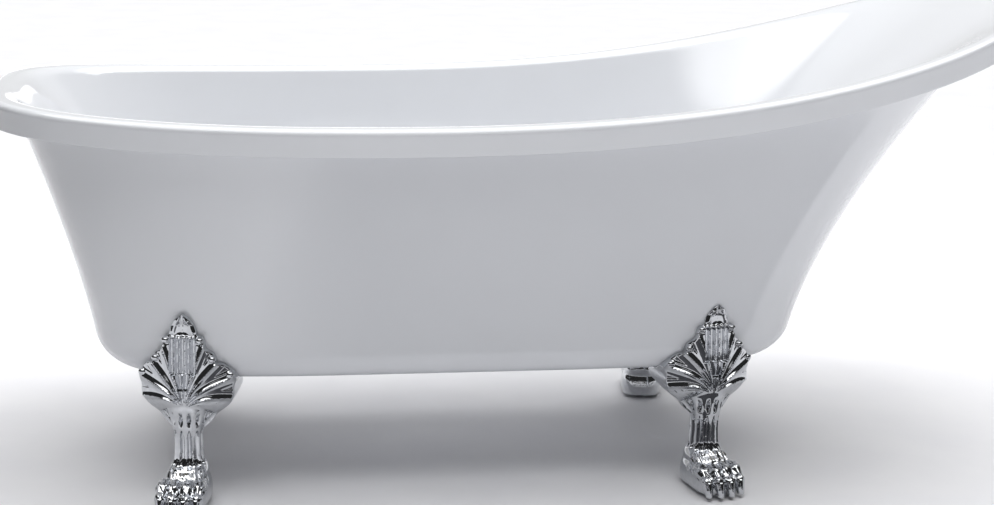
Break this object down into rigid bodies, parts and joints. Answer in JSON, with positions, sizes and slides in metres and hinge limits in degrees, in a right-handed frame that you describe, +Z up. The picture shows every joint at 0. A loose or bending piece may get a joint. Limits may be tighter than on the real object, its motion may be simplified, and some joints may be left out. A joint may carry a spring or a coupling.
{
  "type": "clawfoot bathtub",
  "caption": "Double-walled slipper bathtub with a rolled rim, standing on cast claw feet with levelling pads, with a push-to-close waste and an overflow.",
  "frame": {"origin": "on the floor, under the middle of the rim's length and width", "axes": "+X along the tub towards the high slipper end, -Y towards the front of the picture, +Z up"},
  "size_m": [1.7, 0.7503, 0.7978],
  "materials": {
    "white_acrylic": "high gloss white acrylic",
    "backing_resin": "rough glass-reinforced resin",
    "board": "bare chipboard",
    "runner_wood": "planed softwood",
    "polished_chrome": "polished",
    "zinc_steel": "zinc plated",
    "pad_plastic": "matt black",
    "brass": "turned",
    "seal_rubber": "moulded rubber",
    "pipe_plastic": "white moulded polypropylene",
    "spring_steel": "drawn wire"
  },
  "bodies": {
    "tub": {"basin": "white_acrylic", "rim_stiffener": "backing_resin", "outer_skirt": "white_acrylic", "base_board": "board", "runner_front": "runner_wood", "runner_rear": "runner_wood", "claw_foot_front_low": "polished_chrome", "claw_foot_front_high": "polished_chrome", "claw_foot_rear_low": "polished_chrome", "claw_foot_rear_high": "polished_chrome", "foot_plate_front_low": "zinc_steel", "foot_plate_front_high": "zinc_steel", "foot_plate_rear_low": "zinc_steel", "foot_plate_rear_high": "zinc_steel", "foot_bolts": "zinc_steel", "foot_washers": "zinc_steel", "foot_nuts": "zinc_steel", "leveller_bushes": "brass", "waste_flange": "polished_chrome", "flange_gasket": "seal_rubber", "waste_gasket": "seal_rubber", "waste_body": "pipe_plastic", "tail_pipe": "pipe_plastic", "tail_nut": "pipe_plastic", "tail_washer": "seal_rubber", "popup_barrel": "brass", "popup_spring": "spring_steel", "overflow_face": "polished_chrome", "overflow_gasket": "seal_rubber", "overflow_elbow": "pipe_plastic", "overflow_screw": "zinc_steel", "overflow_pipe": "pipe_plastic", "overflow_nuts": "pipe_plastic"},
    "pad_front_low": {"leveller_pad_front_low": "pad_plastic"},
    "screw_front_low": {"leveller_screw_front_low": "zinc_steel"},
    "pad_front_high": {"leveller_pad_front_high": "pad_plastic"},
    "screw_front_high": {"leveller_screw_front_high": "zinc_steel"},
    "pad_rear_low": {"leveller_pad_rear_low": "pad_plastic"},
    "screw_rear_low": {"leveller_screw_rear_low": "zinc_steel"},
    "pad_rear_high": {"leveller_pad_rear_high": "pad_plastic"},
    "screw_rear_high": {"leveller_screw_rear_high": "zinc_steel"},
    "plug": {"popup_plug": "polished_chrome", "popup_seal": "seal_rubber"}
  },
  "joints": [
    {"name": "leveller_travel_front_low", "type": "slide", "parent": "tub", "child": "pad_front_low", "axis": [0, 0, -1], "range_m": [0, 0.012]},
    {"name": "leveller_turn_front_low", "type": "hinge", "parent": "pad_front_low", "child": "screw_front_low", "pos_m": [-0.54807, -0.26826, 0], "axis": [0, 0, 1], "range_deg": [0, 2870]},
    {"name": "leveller_travel_front_high", "type": "slide", "parent": "tub", "child": "pad_front_high", "axis": [0, 0, -1], "range_m": [0, 0.012]},
    {"name": "leveller_turn_front_high", "type": "hinge", "parent": "pad_front_high", "child": "screw_front_high", "pos_m": [0.31207, -0.26826, 0], "axis": [0, 0, 1], "range_deg": [0, 2870]},
    {"name": "leveller_travel_rear_low", "type": "slide", "parent": "tub", "child": "pad_rear_low", "axis": [0, 0, -1], "range_m": [0, 0.012]},
    {"name": "leveller_turn_rear_low", "type": "hinge", "parent": "pad_rear_low", "child": "screw_rear_low", "pos_m": [-0.54807, 0.26826, 0], "axis": [0, 0, 1], "range_deg": [0, 2870]},
    {"name": "leveller_travel_rear_high", "type": "slide", "parent": "tub", "child": "pad_rear_high", "axis": [0, 0, -1], "range_m": [0, 0.012]},
    {"name": "leveller_turn_rear_high", "type": "hinge", "parent": "pad_rear_high", "child": "screw_rear_high", "pos_m": [0.31207, 0.26826, 0], "axis": [0, 0, 1], "range_deg": [0, 2870]},
    {"name": "plug_travel", "type": "slide", "parent": "tub", "child": "plug", "axis": [0, 0, 1], "range_m": [-0.008, 0], "stiffness_N_per_m": 400, "springref_m": 0.0125, "deforming": ["popup_spring"]}
  ],
  "couplings": [
    {"joint": "leveller_travel_front_low", "follows": "leveller_turn_front_low", "m_per_rad": 0.00023873},
    {"joint": "leveller_travel_front_high", "follows": "leveller_turn_front_high", "m_per_rad": 0.00023873},
    {"joint": "leveller_travel_rear_low", "follows": "leveller_turn_rear_low", "m_per_rad": 0.00023873},
    {"joint": "leveller_travel_rear_high", "follows": "leveller_turn_rear_high", "m_per_rad": 0.00023873}
  ]
}
